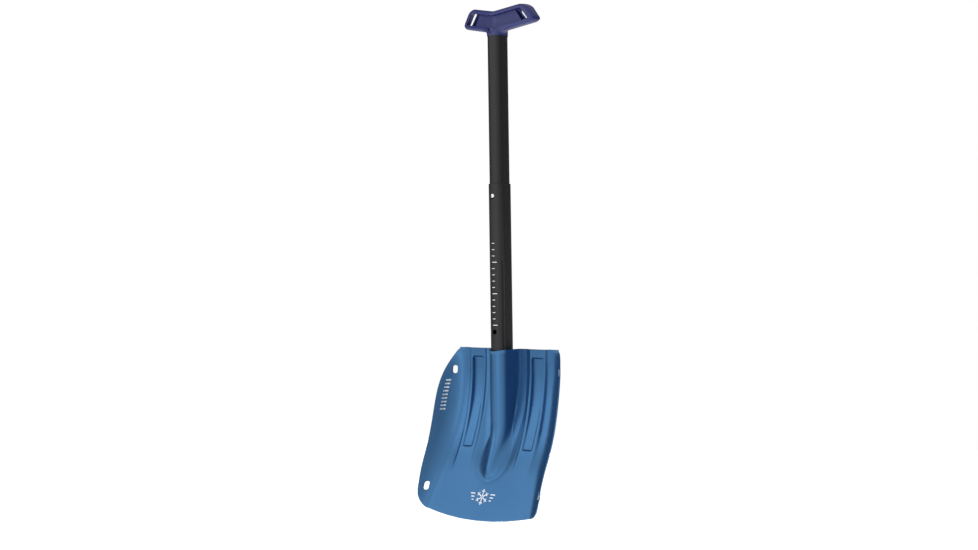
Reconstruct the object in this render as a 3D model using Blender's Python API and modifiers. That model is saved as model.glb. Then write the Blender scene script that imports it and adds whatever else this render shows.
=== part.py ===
"""Avalanche shovel: pressed sheet blade, two-tube telescoping shaft and T-grip.

Metres, +Z up, -Y is the scooping side. Heights below are measured up from the
cutting edge; the frame empty then puts the origin at the middle of the grip,
where a hand holds the shovel.
"""
import math

import bmesh
import bpy
from mathutils import Matrix

# --- overall heights above the cutting edge -------------------------------
BLADE_TOP = 0.262
STEP_Z = 0.5257            # top end of the lower tube
NECK_Z = 0.762             # top end of the upper tube, under the grip
GRIP_Z = 0.788             # middle of the grip, the part's origin

# --- shaft ----------------------------------------------------------------
LOWER_X, LOWER_Y, LOWER_WALL = 0.0280, 0.0400, 0.0012
UPPER_X, UPPER_Y, UPPER_WALL = 0.0248, 0.0368, 0.0012
LOWER_END_Z = 0.158
UPPER_END_Z = 0.448
TRAVEL = 0.2155            # from the raised hole down to the stowed hole
RAISED_Z = 0.5066
STOWED_Z = RAISED_Z - TRAVEL
SOCKET_BUTTON_Z = 0.205
BUTTON_R = 0.0034
BUTTON_HOLE_R = 0.0039
BUTTON_SHANK = 0.0044      # from the flange to the start of the dome, front button

# --- blade ----------------------------------------------------------------
SHEET = 0.0020
PANEL_Y = 0.0177           # front face of the flat panel at the top
BEND_START = 0.245
BEND_RADIUS = 0.3105
PANEL_TILT = math.radians(29.5)
RIB_HEIGHT = 0.0030
RIB_OUTER = 0.0747
POCKET_TOP, POCKET_FOOT = 0.2500, 0.1053
SOCKET_HALF = 0.0165       # half width of the pressed socket bulge
SOCKET_NOSE = -0.0225      # its foremost line
RIDGE_END = 0.064
DISH_FOOT = 0.0483
EDGE_SAG = 1.1             # cutting edge rises by EDGE_SAG * x * x
CORNER_X, SIDE_X = 0.098, 0.1174
CORNER_TOP = 0.0425
LASH_HOLES = ((0.1010, 0.2265), (0.1090, 0.0440))
LASH_W, LASH_H = 0.0062, 0.0130

# --- back plate and rivets ------------------------------------------------
PLATE_TOP, PLATE_FOOT = 0.2585, 0.1540
PLATE_T = 0.0015
PLATE_HALF = 0.0345
PLATE_GAP = 0.0004
HAT_Y = 0.0206
RIVET_X = 0.0275
RIVET_ZS = (0.180, 0.214, 0.248)
RIVET_R = 0.0021

# --- grip -----------------------------------------------------------------
GRIP_HALF = 0.0725
GRIP_DEPTH = 0.0200
SWEEP = math.tan(math.radians(12.5))
RISE_TOP = math.tan(math.radians(11.3))
RISE_FOOT = math.tan(math.radians(13.0))
GRIP_TOP_Z, GRIP_FOOT_Z = 0.8003, 0.7655
GRIP_FRONT_Y = -0.0157     # mid-depth line of the wings lies GRIP_DEPTH / 2 behind
GRIP_RIVET_Z = 0.7515
GRIP_RIM = 0.0070              # width of the rim round the sunken fields
WEB_FRONT, WEB_BACK = 0.0082, 0.0050   # depth of the sunken fields from each face
FIELD_FOOT_X, FIELD_TOP_X = 0.0425, 0.0355
WINDOW_FOOT_X, WINDOW_TOP_X, WINDOW_WIDTH = 0.0555, 0.0458, 0.0080
WINDOW_FOOT_Z, WINDOW_TOP_Z = 0.7845, 0.8010

SEGMENTS = 7               # facets in a quarter of a tube's round end


def face_outward(bm):
    bm.normal_update()
    bmesh.ops.recalc_face_normals(bm, faces=bm.faces)


def clear_scene():
    for ob in list(bpy.data.objects):
        bpy.data.objects.remove(ob, do_unlink=True)


clear_scene()
PARTS = bpy.data.collections.new("avalanche_shovel")
CUTTERS = bpy.data.collections.new("cutters")
for group in (PARTS, CUTTERS):
    bpy.context.scene.collection.children.link(group)

FRAME = bpy.data.objects.new("shovel_frame", None)
FRAME.location = (0, 0, -GRIP_Z)
PARTS.objects.link(FRAME)


def material(name, colour, roughness, metallic):
    mat = bpy.data.materials.new(name)
    mat.use_nodes = True
    shader = mat.node_tree.nodes["Principled BSDF"]
    shader.inputs["Base Color"].default_value = (*colour, 1)
    shader.inputs["Roughness"].default_value = roughness
    shader.inputs["Metallic"].default_value = metallic
    return mat


BLUE_METAL = material("blade_blue_anodised", (0.035, 0.16, 0.33), 0.36, 0.85)
BLACK_METAL = material("shaft_black_anodised", (0.022, 0.022, 0.024), 0.42, 0.7)
STEEL = material("button_steel", (0.62, 0.62, 0.60), 0.25, 1.0)
SPRING_STEEL = material("spring_steel", (0.30, 0.30, 0.31), 0.35, 1.0)
GRIP_PLASTIC = material("grip_navy_plastic", (0.018, 0.018, 0.13), 0.38, 0.0)
BLACK_PLASTIC = material("insert_black_plastic", (0.015, 0.015, 0.016), 0.55, 0.0)
ALU = material("rivet_aluminium", (0.55, 0.56, 0.57), 0.35, 1.0)


def empty(name, location, parent):
    ob = bpy.data.objects.new(name, None)
    ob.location = location
    ob.parent = parent
    PARTS.objects.link(ob)
    return ob


def add_mesh(name, bm, mat, parent=FRAME, location=(0, 0, 0), smooth=35):
    mesh = bpy.data.meshes.new(name)
    bm.to_mesh(mesh)
    bm.free()
    mesh.shade_smooth()
    mesh.set_sharp_from_angle(angle=math.radians(smooth))
    mesh.materials.append(mat)
    ob = bpy.data.objects.new(name, mesh)
    ob.location = location
    ob.parent = parent
    PARTS.objects.link(ob)
    return ob


def cut(target, cutter):
    """Subtract a closed cutter object from the target and keep it hidden."""
    for group in list(cutter.users_collection):
        group.objects.unlink(cutter)
    CUTTERS.objects.link(cutter)
    cutter.hide_render = True
    cutter.display_type = "WIRE"
    mod = target.modifiers.new("cut_" + cutter.name, "BOOLEAN")
    mod.object = cutter
    mod.operation = "DIFFERENCE"
    mod.solver = "EXACT"


def cylinder_y(name, radius, depth, centre, sides=28):
    """A closed cylinder along Y, used for drilled holes."""
    bm = bmesh.new()
    turn = Matrix.Rotation(math.pi / 2, 4, "X")
    bmesh.ops.create_cone(bm, cap_ends=True, segments=sides, radius1=radius,
                          radius2=radius, depth=depth, matrix=turn)
    return add_mesh(name, bm, ALU, location=centre)


# ------------------------------------------------------------- blade surface
def smooth(edge0, edge1, value):
    t = min(max((value - edge0) / (edge1 - edge0), 0.0), 1.0)
    return t * t * (3 - 2 * t)


def panel_y(z):
    """Front face of the flat panel: upright, then a round bend, then straight."""
    drop = max(0.0, BEND_START - z)
    bend_drop = BEND_RADIUS * math.sin(PANEL_TILT)
    arc_drop = min(drop, bend_drop)
    y = PANEL_Y - (BEND_RADIUS - math.sqrt(BEND_RADIUS ** 2 - arc_drop ** 2))
    return y - (drop - arc_drop) * math.tan(PANEL_TILT)


def half_width(z):
    if z > 0.130:
        return 0.1198 - 0.0219 * ((z - 0.130) / 0.132) ** 3.8
    return 0.1198 - 0.024 * (0.130 - z)


def fold_x(z):
    """Where the side wing starts to turn forward."""
    return 0.084 + 0.0145 * (1 - (z / BLADE_TOP) ** 1.3)


def wing_slope(z):
    rise = 1.22 * (1 - math.exp(-(BLADE_TOP - z) / 0.032))
    fade = 1 - 0.65 * max(0.0, 1 - z / 0.105) ** 2
    return rise * fade


def wing_reach(x, z, radius=0.010):
    """How far the wing stands forward of the panel at |x|."""
    d = x - fold_x(z)
    if d <= -radius:
        return 0.0
    if d < radius:
        return wing_slope(z) * (d + radius) ** 2 / (4 * radius)
    return wing_slope(z) * d


def dish_half(z):
    """Half width of the recess between the ribs, closing to a round foot."""
    if z < DISH_FOOT:
        return 2 * (z - DISH_FOOT)
    t = max((0.115 - z) / (0.115 - DISH_FOOT), 0.0)
    return 0.0430 * math.sqrt(1 - t * t) - 0.002 * smooth(0.12, 0.24, z)


def pocket_edges(z):
    t = (POCKET_TOP - z) / (POCKET_TOP - POCKET_FOOT)
    return 0.0460 + 0.0028 * t, 0.0704 - 0.0023 * t


def socket_half(z):
    return SOCKET_HALF - 0.0085 * (1 - smooth(0.066, 0.160, z))


def nose_y(z):
    """Foremost line of the socket bulge and of the ridge that runs on from it."""
    drop = max(0.0, 0.150 - z)
    arc = min(drop, 0.042)
    return SOCKET_NOSE - arc * arc / 0.200 - (drop - arc) * 0.42


def ridge_y(x, z):
    half = socket_half(z)
    floor = panel_y(z)
    height = floor - nose_y(z)
    if z < RIDGE_END + 0.012:
        t = min((RIDGE_END + 0.012 - z) / 0.012, 1.0)
        height *= math.sqrt(1 - t * t)
    if x >= half:
        return floor
    rise = min(height, half)
    return floor - height + rise * (1 - math.sqrt(1 - (x / half) ** 2))


def blade_y(x, z):
    x = abs(x)
    y = panel_y(z)
    inside = dish_half(z)
    edge = 0.0012
    plateau = smooth(inside - edge, inside + edge, x)
    outer = smooth(RIB_OUTER - edge, RIB_OUTER + edge, x) * smooth(0.075, 0.105, z)
    raised = RIB_HEIGHT * plateau * (1 - outer)
    pocket_in, pocket_out = pocket_edges(z)
    wall = 0.0022
    pocket = smooth(pocket_in, pocket_in + wall, x) * (1 - smooth(pocket_out - wall, pocket_out, x))
    pocket *= smooth(POCKET_FOOT, POCKET_FOOT + wall, z) * (1 - smooth(POCKET_TOP - wall, POCKET_TOP, z))
    sunk = 0.0015 * (1 - plateau) * (1 - smooth(0.10, 0.15, z))
    y += sunk - raised + RIB_HEIGHT * pocket - wing_reach(x, z)
    return min(y, ridge_y(x, z))


def foot_z(x):
    """Height of the cutting edge, with its round corners."""
    x = abs(x)
    z = EDGE_SAG * min(x, CORNER_X) ** 2
    if x > CORNER_X:
        t = min((x - CORNER_X) / (SIDE_X - CORNER_X), 1.0)
        z += (CORNER_TOP - z) * (1 - math.sqrt(1 - t * t))
    return z


def blade_columns(z):
    """|x| of the columns of one half of the blade, on its creases."""
    half = socket_half(z)
    pocket_in, pocket_out = pocket_edges(min(max(z, POCKET_FOOT), POCKET_TOP))
    inside = max(dish_half(z), half + 0.0035)
    fold = fold_x(z)
    edge = half_width(z)
    wanted = [0.0, 0.40 * half, 0.70 * half, 0.90 * half, 0.995 * half, half + 0.0012,
              (half + inside) / 2, inside - 0.0014, inside + 0.0014,
              pocket_in, pocket_in + 0.0022, pocket_out - 0.0022, pocket_out,
              RIB_OUTER - 0.0012, RIB_OUTER + 0.0012, fold - 0.007, fold + 0.001,
              fold + 0.009, 0.45 * fold + 0.55 * edge, 0.22 * fold + 0.78 * edge,
              0.08 * fold + 0.92 * edge, edge]
    for i in range(1, len(wanted)):
        wanted[i] = max(wanted[i], wanted[i - 1] + 0.0011)
    return wanted


ROW_ZS = (0.262, 0.256, 0.2500, 0.2478, 0.235, 0.220, 0.205, 0.190, 0.175, 0.160, 0.145,
          0.130, 0.118, 0.1075, 0.1053, 0.097, 0.086, 0.076, 0.070, 0.064, 0.058)
FOOT_ROWS = 4


def blade_grid():
    bm = bmesh.new()
    rows = []
    for z in ROW_ZS:
        rows.append([(x, z) for x in blade_columns(z)])
    base = ROW_ZS[-1]
    foot_columns = [min(x, SIDE_X) for x in blade_columns(base)]
    for step in range(1, FOOT_ROWS + 1):
        t = step / FOOT_ROWS
        rows.append([(x, base + (foot_z(x) - base) * t) for x in foot_columns])
    grid = []
    for row in rows:
        points = [(-x, z) for x, z in reversed(row[1:])] + row
        grid.append([bm.verts.new((x, blade_y(x, z), z)) for x, z in points])
    for upper, lower in zip(grid, grid[1:]):
        for i in range(len(upper) - 1):
            bm.faces.new((upper[i], lower[i], lower[i + 1], upper[i + 1]))
    face_outward(bm)
    if sum(f.normal.y for f in bm.faces) > 0:
        bmesh.ops.reverse_faces(bm, faces=bm.faces)
    return bm


def slot_cutter(name, x, z):
    """An upright oval prism through the wing, for a lashing hole."""
    curve = bpy.data.curves.new(name, "CURVE")
    curve.dimensions = "2D"
    curve.fill_mode = "BOTH"
    curve.extrude = 0.030
    radius = LASH_W / 2
    straight = (LASH_H - LASH_W) / 2
    points = []
    for k in range(24):
        angle = 2 * math.pi * k / 24
        lift = straight if math.sin(angle) >= 0 else -straight
        points.append((radius * math.cos(angle), radius * math.sin(angle) + lift))
    spline = curve.splines.new("POLY")
    spline.points.add(len(points) - 1)
    for point, (px, pz) in zip(spline.points, points):
        point.co = (px, pz, 0, 1)
    spline.use_cyclic_u = True
    return curve_to_mesh(name, curve, (x, blade_y(x, z), z), math.pi / 2, STEEL)


def curve_to_mesh(name, curve, location, turn_x, mat, parent=FRAME):
    """Replace a curve by its mesh, with the caps welded on."""
    source = bpy.data.objects.new(name + "_curve", curve)
    source.location = location
    source.rotation_euler = (turn_x, 0, 0)
    PARTS.objects.link(source)
    bpy.context.view_layer.update()
    depsgraph = bpy.context.evaluated_depsgraph_get()
    mesh = bpy.data.meshes.new_from_object(source.evaluated_get(depsgraph))
    bm = bmesh.new()
    bm.from_mesh(mesh)
    bmesh.ops.remove_doubles(bm, verts=bm.verts, dist=0.00001)
    face_outward(bm)
    bm.to_mesh(mesh)
    bm.free()
    mesh.materials.clear()
    mesh.materials.append(mat)
    mesh.shade_smooth()
    mesh.set_sharp_from_angle(angle=math.radians(35))
    ob = bpy.data.objects.new(name, mesh)
    ob.matrix_world = source.matrix_world
    ob.parent = parent
    PARTS.objects.link(ob)
    bpy.data.objects.remove(source, do_unlink=True)
    return ob


# --------------------------------------------------------------------- tubes
def stadium(size_x, size_y):
    """Points of an oval whose flat flanks face +-X and round ends face +-Y."""
    radius = size_x / 2
    straight = size_y / 2 - radius
    points = []
    for end in (1, -1):
        for k in range(2 * SEGMENTS + 1):
            angle = math.pi * k / (2 * SEGMENTS)
            points.append((end * radius * math.cos(angle), end * (radius * math.sin(angle) + straight)))
    return points


def oval_prism(name, size_x, size_y, foot, top, mat, parent, wall=None):
    """A plug of the tubes' oval section, or a tube with the given wall thickness."""
    curve = bpy.data.curves.new(name, "CURVE")
    curve.dimensions = "2D"
    curve.fill_mode = "BOTH"
    curve.extrude = (top - foot) / 2
    insets = (0.0,) if wall is None else (0.0, wall)
    for inset in insets:
        points = stadium(size_x - 2 * inset, size_y - 2 * inset)
        spline = curve.splines.new("POLY")
        spline.points.add(len(points) - 1)
        for point, (px, py) in zip(spline.points, points):
            point.co = (px, py, 0, 1)
        spline.use_cyclic_u = True
    return curve_to_mesh(name, curve, (0, 0, (top + foot) / 2), 0, mat, parent)


def snap_button(name, parent, facing, shank):
    """Domed pin on a flange, turned about its own axis; facing is -1 front, +1 back."""
    top = 0.0011 + shank
    profile = [(0.0, 0.0), (0.0048, 0.0), (0.0048, 0.0011), (BUTTON_R, 0.0011), (BUTTON_R, top)]
    for k in range(1, 5):
        angle = math.pi / 2 * k / 4
        profile.append((BUTTON_R * math.cos(angle), top + 0.0016 * math.sin(angle)))
    bm = bmesh.new()
    verts = [bm.verts.new((r, 0, h)) for r, h in profile]
    for a, b in zip(verts, verts[1:]):
        bm.edges.new((a, b))
    bmesh.ops.spin(bm, geom=bm.verts[:] + bm.edges[:], cent=(0, 0, 0), axis=(0, 0, 1),
                   angle=2 * math.pi, steps=24, use_merge=True)
    bmesh.ops.remove_doubles(bm, verts=bm.verts, dist=0.00001)
    face_outward(bm)
    bmesh.ops.transform(bm, verts=bm.verts, matrix=Matrix.Rotation(-facing * math.pi / 2, 4, "X"))
    return add_mesh(name, bm, STEEL, parent)


def leaf_spring(name, z, facing, depth, parent):
    """V-shaped leaf: the button's leg, a round bend below it and a back leg."""
    curve = bpy.data.curves.new(name, "CURVE")
    curve.dimensions = "2D"
    curve.fill_mode = "BOTH"
    curve.extrude = 0.0035
    thick = 0.0005
    bend_r = 0.0032
    reach = 0.030
    front = [(depth / 2, 0.0055), (depth / 2, -0.0055), (bend_r, -reach)]
    bend = []
    for k in range(1, 8):
        angle = math.pi * k / 8
        bend.append((bend_r * math.cos(angle), -reach - bend_r * math.sin(angle)))
    back = [(-bend_r, -reach), (-depth / 2, 0.0040)]
    line = front + bend + back
    sides = []
    for side in (1, -1):
        shifted = []
        for i, (px, pz) in enumerate(line):
            ax, az = line[max(i - 1, 0)]
            bx, bz = line[min(i + 1, len(line) - 1)]
            length = math.hypot(bx - ax, bz - az)
            shifted.append((px - side * (bz - az) / length * thick / 2,
                            pz + side * (bx - ax) / length * thick / 2))
        sides.append(shifted)
    outline = sides[0] + sides[1][::-1]
    spline = curve.splines.new("POLY")
    spline.points.add(len(outline) - 1)
    for point, (px, pz) in zip(spline.points, outline):
        point.co = (px * facing, pz, 0, 1)
    spline.use_cyclic_u = True
    ob = curve_to_mesh(name, curve, (0, 0, 0), math.pi / 2, SPRING_STEEL, parent)
    ob.rotation_euler = (math.pi / 2, 0, math.pi / 2)
    ob.location = (0, 0, z)
    return ob


# --------------------------------------------------------------- back plate
def plate_y(x, z):
    """Front face of the back plate: flat over the tube, flanges on the sheet."""
    flange = panel_y(z) + SHEET / math.cos(panel_angle(z)) + PLATE_GAP
    return HAT_Y + (min(flange, HAT_Y) - HAT_Y) * smooth(0.0158, 0.0205, abs(x))


def panel_angle(z):
    step = 0.0005
    return math.atan2(panel_y(z + step) - panel_y(z - step), 2 * step)


def back_plate():
    xs = (-PLATE_HALF, -0.0245, -0.0207, -0.0190, -0.0173, -0.0156, 0.0,
          0.0156, 0.0173, 0.0190, 0.0207, 0.0245, PLATE_HALF)
    rows = 9
    bm = bmesh.new()
    grid = []
    for j in range(rows):
        z = PLATE_TOP + (PLATE_FOOT - PLATE_TOP) * j / (rows - 1)
        grid.append([bm.verts.new((x, plate_y(x, z), z)) for x in xs])
    for upper, lower in zip(grid, grid[1:]):
        for i in range(len(xs) - 1):
            bm.faces.new((upper[i], upper[i + 1], lower[i + 1], lower[i]))
    face_outward(bm)
    if sum(f.normal.y for f in bm.faces) < 0:
        bmesh.ops.reverse_faces(bm, faces=bm.faces)
    ob = add_mesh("socket_back_plate", bm, BLUE_METAL, BLADE_AXIS)
    solid = ob.modifiers.new("thickness", "SOLIDIFY")
    solid.thickness = PLATE_T
    solid.offset = 1
    return ob


def rivet(name, x, z):
    """Flush at the front of the sheet, domed head behind the back plate."""
    angle = panel_angle(z)
    stack = SHEET + PLATE_GAP + PLATE_T
    profile = [(0.0, 0.0001), (RIVET_R, 0.0001), (RIVET_R, stack + 0.0003), (0.0042, stack + 0.0003)]
    for k in range(1, 5):
        turn = math.pi / 2 * k / 4
        profile.append((0.0042 * math.cos(turn), stack + 0.0006 + 0.0013 * math.sin(turn)))
    bm = bmesh.new()
    verts = [bm.verts.new((r, 0, h)) for r, h in profile]
    for a, b in zip(verts, verts[1:]):
        bm.edges.new((a, b))
    bmesh.ops.spin(bm, geom=bm.verts[:] + bm.edges[:], cent=(0, 0, 0), axis=(0, 0, 1),
                   angle=2 * math.pi, steps=14, use_merge=True)
    bmesh.ops.remove_doubles(bm, verts=bm.verts, dist=0.00001)
    face_outward(bm)
    turn = Matrix.Rotation(-math.pi / 2 - angle, 4, "X")
    bmesh.ops.transform(bm, verts=bm.verts, matrix=turn)
    return add_mesh(name, bm, ALU, BLADE_AXIS, (x, panel_y(z), z))


# ---------------------------------------------------------------------- grip
def grip_outline(x):
    """Heights of the underside and of the top of the grip at |x|."""
    foot = GRIP_FOOT_Z + RISE_FOOT * x
    top = GRIP_TOP_Z + RISE_TOP * x
    if x > 0.050:
        t = min((x - 0.050) / (GRIP_HALF - 0.050), 1.0)
        top -= (top - 0.787) * (1 - math.sqrt(1 - t * t)) * 0.97
    if x > 0.066:
        t = min((x - 0.066) / (GRIP_HALF - 0.066), 1.0)
        foot += (0.7855 - foot) * (1 - math.sqrt(1 - t * t)) * 0.97
    return foot, top


def grip_block():
    """Chevron bar, swept back towards its ends, before the recesses are cut."""
    stations = [-1.0, -0.985, -0.95, -0.90, -0.82, -0.72, -0.60, -0.40, -0.20, 0.0]
    stations += [-s for s in reversed(stations[:-1])]
    corner = 0.0045
    bm = bmesh.new()
    rings = []
    for s in stations:
        x = s * GRIP_HALF
        foot, top = grip_outline(abs(x))
        mid_y = GRIP_FRONT_Y + GRIP_DEPTH / 2 + SWEEP * abs(x)
        half_d = GRIP_DEPTH / 2
        soft = min(corner, (top - foot) * 0.42)
        ring = []
        for cy, cz, start in ((half_d - corner, top - soft, 0), (-half_d + corner, top - soft, 1),
                              (-half_d + corner, foot + soft, 2), (half_d - corner, foot + soft, 3)):
            for k in range(4):
                angle = (start + k / 3) * math.pi / 2
                ring.append(bm.verts.new((x, mid_y + cy + corner * math.cos(angle),
                                          cz + soft * math.sin(angle))))
        rings.append(ring)
    for left, right in zip(rings, rings[1:]):
        for i in range(len(left)):
            j = (i + 1) % len(left)
            bm.faces.new((left[i], left[j], right[j], right[i]))
    bm.faces.new(rings[0][::-1])
    bm.faces.new(rings[-1])
    face_outward(bm)
    return bm


def window_block(name, side, y_mid, depth):
    """A leaning box along Y with rounded corners, used for the grip's windows."""
    bm = bmesh.new()
    bmesh.ops.create_cube(bm, size=1.0)
    for v in bm.verts:
        up = v.co.z > 0
        centre = WINDOW_TOP_X if up else WINDOW_FOOT_X
        v.co.x = side * centre + v.co.x * WINDOW_WIDTH
        v.co.y = y_mid + v.co.y * depth
        v.co.z = WINDOW_TOP_Z if up else WINDOW_FOOT_Z
    bmesh.ops.bevel(bm, geom=[e for e in bm.edges if abs(e.verts[0].co.y - e.verts[1].co.y) > depth / 2],
                    offset=0.002, segments=2, affect="EDGES")
    return add_mesh(name, bm, ALU)


def recess_block(name, side, y_mid, depth):
    """Sunken field in one wing's face, following the wing's rise and sweep."""
    bm = bmesh.new()
    bmesh.ops.create_cube(bm, size=1.0)
    for v in bm.verts:
        far = v.co.x > 0
        up = v.co.z > 0
        x = (FIELD_TOP_X if up else FIELD_FOOT_X) if far else 0.0025
        foot, top = grip_outline(x)
        z = top - GRIP_RIM if up else foot + GRIP_RIM
        y = y_mid + SWEEP * x + v.co.y * depth
        v.co = (side * x, y, z)
    face_outward(bm)
    return add_mesh(name, bm, ALU)


def grip():
    ob = add_mesh("handle_grip", grip_block(), GRIP_PLASTIC)
    neck = oval_prism("grip_neck", UPPER_X, UPPER_Y, NECK_Z + 0.0003, 0.785, GRIP_PLASTIC, FRAME)
    spigot = oval_prism("grip_spigot", UPPER_X - 2 * UPPER_WALL - 0.0007, UPPER_Y - 2 * UPPER_WALL - 0.0007,
                  NECK_Z - 0.042, 0.783, GRIP_PLASTIC, FRAME)
    for piece in (neck, spigot):
        for group in list(piece.users_collection):
            group.objects.unlink(piece)
        CUTTERS.objects.link(piece)
        piece.hide_render = True
        piece.display_type = "WIRE"
        join = ob.modifiers.new("join_" + piece.name, "BOOLEAN")
        join.object = piece
        join.operation = "UNION"
        join.solver = "EXACT"
    mid_y = GRIP_FRONT_Y + GRIP_DEPTH / 2
    for side, tag in ((-1, "left"), (1, "right")):
        cut(ob, window_block("window_" + tag, side, mid_y + SWEEP * WINDOW_TOP_X, 0.060))
        cut(ob, recess_block("front_field_" + tag, side, mid_y - GRIP_DEPTH / 2, 2 * WEB_FRONT))
        cut(ob, recess_block("back_field_" + tag, side, mid_y + GRIP_DEPTH / 2, 2 * WEB_BACK))
    hole = cylinder_y("grip_rivet_hole", RIVET_R + 0.0003, 0.0260, (0, 0.0130, GRIP_RIVET_Z), 14)
    cut(ob, hole)
    return ob


def grip_rivet():
    """Blind rivet through the back of the upper tube into the grip's spigot."""
    base = UPPER_Y / 2 + 0.0003
    profile = [(0.0, -0.0150), (RIVET_R, -0.0150), (RIVET_R, 0.0), (0.0040, 0.0)]
    for k in range(1, 5):
        turn = math.pi / 2 * k / 4
        profile.append((0.0040 * math.cos(turn), 0.0003 + 0.0011 * math.sin(turn)))
    bm = bmesh.new()
    verts = [bm.verts.new((r, 0, h)) for r, h in profile]
    for a, b in zip(verts, verts[1:]):
        bm.edges.new((a, b))
    bmesh.ops.spin(bm, geom=bm.verts[:] + bm.edges[:], cent=(0, 0, 0), axis=(0, 0, 1),
                   angle=2 * math.pi, steps=14, use_merge=True)
    bmesh.ops.remove_doubles(bm, verts=bm.verts, dist=0.00001)
    face_outward(bm)
    bmesh.ops.transform(bm, verts=bm.verts, matrix=Matrix.Rotation(-math.pi / 2, 4, "X"))
    return add_mesh("grip_rivet", bm, ALU, FRAME, (0, base, GRIP_RIVET_Z))


# ------------------------------------------------------------------ assembly
BLADE_AXIS = empty("blade_slide", (0, 0, 0), FRAME)
LOWER_AXIS = empty("lower_tube_slide", (0, 0, 0), FRAME)

blade = add_mesh("blade", blade_grid(), BLUE_METAL, BLADE_AXIS)
skin = blade.modifiers.new("sheet", "SOLIDIFY")
skin.thickness = SHEET
skin.offset = -1
skin.use_even_offset = True
for hole_x, hole_z in LASH_HOLES:
    for side in (-1, 1):
        tag = "lash_%s_%s" % ("left" if side < 0 else "right", "top" if hole_z > 0.1 else "foot")
        cut(blade, slot_cutter(tag, side * hole_x, hole_z))

plate = back_plate()
cut(plate, cylinder_y("plate_button_hole", BUTTON_HOLE_R, 0.012, (0, HAT_Y, SOCKET_BUTTON_Z)))
for index, rivet_z in enumerate(RIVET_ZS):
    for side, tag in ((-1, "left"), (1, "right")):
        place = (side * RIVET_X, panel_y(rivet_z), rivet_z)
        for target, label in ((blade, "sheet"), (plate, "plate")):
            drill = cylinder_y("%s_drill_%s_%d" % (label, tag, index + 1), RIVET_R + 0.0003, 0.020, place, 14)
            drill.rotation_euler = (-panel_angle(rivet_z), 0, 0)
            cut(target, drill)
        rivet("plate_rivet_%s_%d" % (tag, index + 1), side * RIVET_X, rivet_z)

lower = oval_prism("lower_tube", LOWER_X, LOWER_Y, LOWER_END_Z, STEP_Z, BLACK_METAL, LOWER_AXIS,
                   wall=LOWER_WALL)
for tag, hole_z, hole_y in (("raised", RAISED_Z, -0.02), ("stowed", STOWED_Z, -0.02),
                            ("socket", SOCKET_BUTTON_Z, 0.02)):
    cut(lower, cylinder_y("lower_hole_" + tag, BUTTON_HOLE_R, 0.014, (0, hole_y, hole_z)))
oval_prism("lower_tube_plug", LOWER_X - 2 * LOWER_WALL - 0.0008, LOWER_Y - 2 * LOWER_WALL - 0.0008,
     LOWER_END_Z + 0.0005, LOWER_END_Z + 0.0065, BLACK_PLASTIC, LOWER_AXIS)

upper = oval_prism("upper_tube", UPPER_X, UPPER_Y, UPPER_END_Z, NECK_Z, BLACK_METAL, FRAME,
                   wall=UPPER_WALL)
cut(upper, cylinder_y("upper_button_hole", BUTTON_HOLE_R, 0.014, (0, -0.018, RAISED_Z)))
cut(upper, cylinder_y("upper_rivet_hole", RIVET_R + 0.0003, 0.008, (0, 0.018, GRIP_RIVET_Z), 14))
oval_prism("upper_tube_plug", UPPER_X - 2 * UPPER_WALL - 0.0008, UPPER_Y - 2 * UPPER_WALL - 0.0008,
     UPPER_END_Z + 0.0005, UPPER_END_Z + 0.0070, BLACK_PLASTIC, FRAME)

UPPER_FLANGE_Y = UPPER_Y / 2 - UPPER_WALL - 0.0027
LOWER_FLANGE_Y = LOWER_Y / 2 - LOWER_WALL - 0.0027
UPPER_BUTTON_AXIS = empty("upper_button_slide", (0, -UPPER_FLANGE_Y, RAISED_Z), FRAME)
LOWER_BUTTON_AXIS = empty("lower_button_slide", (0, LOWER_FLANGE_Y, SOCKET_BUTTON_Z), LOWER_AXIS)
snap_button("upper_snap_button", UPPER_BUTTON_AXIS, -1, BUTTON_SHANK)
snap_button("lower_snap_button", LOWER_BUTTON_AXIS, 1, BUTTON_SHANK + 0.0006)
leaf_spring("upper_button_spring", RAISED_Z, -1, 2 * UPPER_FLANGE_Y - 0.0012, FRAME)
leaf_spring("lower_button_spring", SOCKET_BUTTON_Z, 1, 2 * LOWER_FLANGE_Y - 0.0012, LOWER_AXIS)

grip()
grip_rivet()
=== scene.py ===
"""Looks of the avalanche shovel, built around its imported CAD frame.

Metres, +Z up, -Y is the scooping side. Shapes are worked out with heights above the
cutting edge, called z or height; FOOT turns them into the frame's z.
"""

import math

import bmesh
import bpy
import numpy as np
from mathutils import Matrix, Vector


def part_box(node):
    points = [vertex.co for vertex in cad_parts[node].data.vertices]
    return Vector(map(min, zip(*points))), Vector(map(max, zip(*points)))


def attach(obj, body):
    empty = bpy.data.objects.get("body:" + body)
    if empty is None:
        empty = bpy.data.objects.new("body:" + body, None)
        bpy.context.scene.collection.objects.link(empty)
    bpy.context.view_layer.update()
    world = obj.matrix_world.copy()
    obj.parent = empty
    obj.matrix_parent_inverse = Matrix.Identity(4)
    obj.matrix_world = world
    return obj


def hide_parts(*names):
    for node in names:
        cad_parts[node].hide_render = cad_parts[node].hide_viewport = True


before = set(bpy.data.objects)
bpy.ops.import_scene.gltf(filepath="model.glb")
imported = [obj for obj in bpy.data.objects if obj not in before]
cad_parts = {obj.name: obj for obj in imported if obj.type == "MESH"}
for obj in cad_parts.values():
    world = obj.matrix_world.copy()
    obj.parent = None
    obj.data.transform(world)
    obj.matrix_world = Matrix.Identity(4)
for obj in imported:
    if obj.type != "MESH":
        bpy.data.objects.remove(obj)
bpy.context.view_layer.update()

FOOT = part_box("blade")[0].z              # the cutting edge
BLADE_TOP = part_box("blade")[1].z - FOOT
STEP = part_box("lower_tube")[1].z - FOOT  # top end of the lower tube
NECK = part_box("upper_tube")[1].z - FOOT  # top end of the upper tube


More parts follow.
